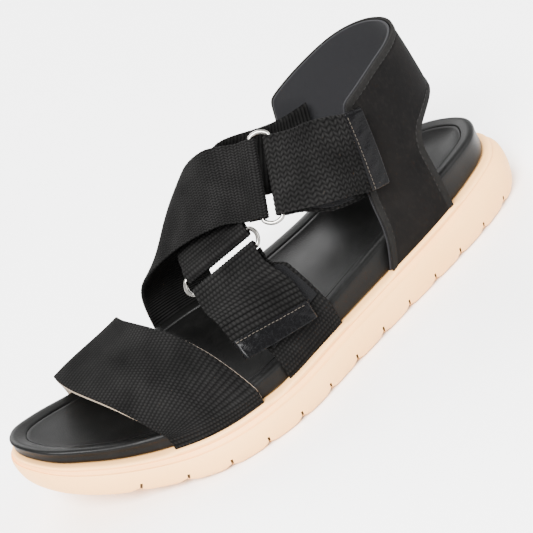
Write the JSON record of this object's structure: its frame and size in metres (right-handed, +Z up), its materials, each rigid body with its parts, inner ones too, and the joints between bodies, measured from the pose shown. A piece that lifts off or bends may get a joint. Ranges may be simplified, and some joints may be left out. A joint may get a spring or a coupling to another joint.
{
  "type": "strappy sport sandal",
  "caption": "Left sport sandal with a toe strap, crossing webbing straps closed by hook and loop flaps through oblong rings, a heel sling and a footbed on a thick pale sole",
  "frame": {"origin": "under the middle of the sandal's box, on the ground", "axes": "+Z up, toe towards -X, heel towards +X, outer side of the foot towards -Y"},
  "size_m": [0.2688, 0.1098, 0.1015],
  "materials": {
    "sole": "smooth matt foam",
    "board": "fibre board",
    "footbed": "satin",
    "sock": "satin",
    "webbing": "coarse weave",
    "lining": "plain weave",
    "patch": "hook and loop pile",
    "tip": "glossy coated, creased",
    "ring": "polished nickel",
    "nubuck": "nubuck",
    "sling_lining": "plain textile"
  },
  "bodies": {
    "sandal": {"sole_unit": "sole", "insole_board": "board", "footbed": "footbed", "footbed_sock": "sock", "toe_strap": "webbing", "toe_strap_lining": "lining", "upper_strap": "webbing", "upper_anchor": "webbing", "upper_anchor_loop": "patch", "lower_strap": "webbing", "lower_anchor": "webbing", "lower_anchor_loop": "patch", "sling_shell": "nubuck", "sling_lining": "sling_lining"},
    "upper_ring": {"upper_ring": "ring"},
    "upper_flap": {"upper_flap": "webbing", "upper_flap_hook": "patch", "upper_flap_tip": "tip"},
    "lower_ring": {"lower_ring": "ring"},
    "lower_flap": {"lower_flap": "webbing", "lower_flap_hook": "patch", "lower_flap_tip": "tip"}
  },
  "joints": [
    {"name": "upper_ring_tilt", "type": "hinge", "parent": "sandal", "child": "upper_ring", "pos_m": [0.01555, -0.01671, 0.08556], "axis": [-0.5025, -0.4718, -0.7245], "range_deg": [0, 30]},
    {"name": "upper_flap_open", "type": "hinge", "parent": "upper_ring", "child": "upper_flap", "pos_m": [0.02231, -0.02186, 0.08422], "axis": [-0.5025, -0.4718, -0.7245], "range_deg": [0, 100]},
    {"name": "lower_ring_tilt", "type": "hinge", "parent": "sandal", "child": "lower_ring", "pos_m": [-0.01535, -0.01371, 0.06716], "axis": [-0.8595, 0.4365, -0.266], "range_deg": [0, 30]},
    {"name": "lower_flap_open", "type": "hinge", "parent": "lower_ring", "child": "lower_flap", "pos_m": [-0.01733, -0.02055, 0.06233], "axis": [-0.8595, 0.4365, -0.266], "range_deg": [0, 100]}
  ]
}
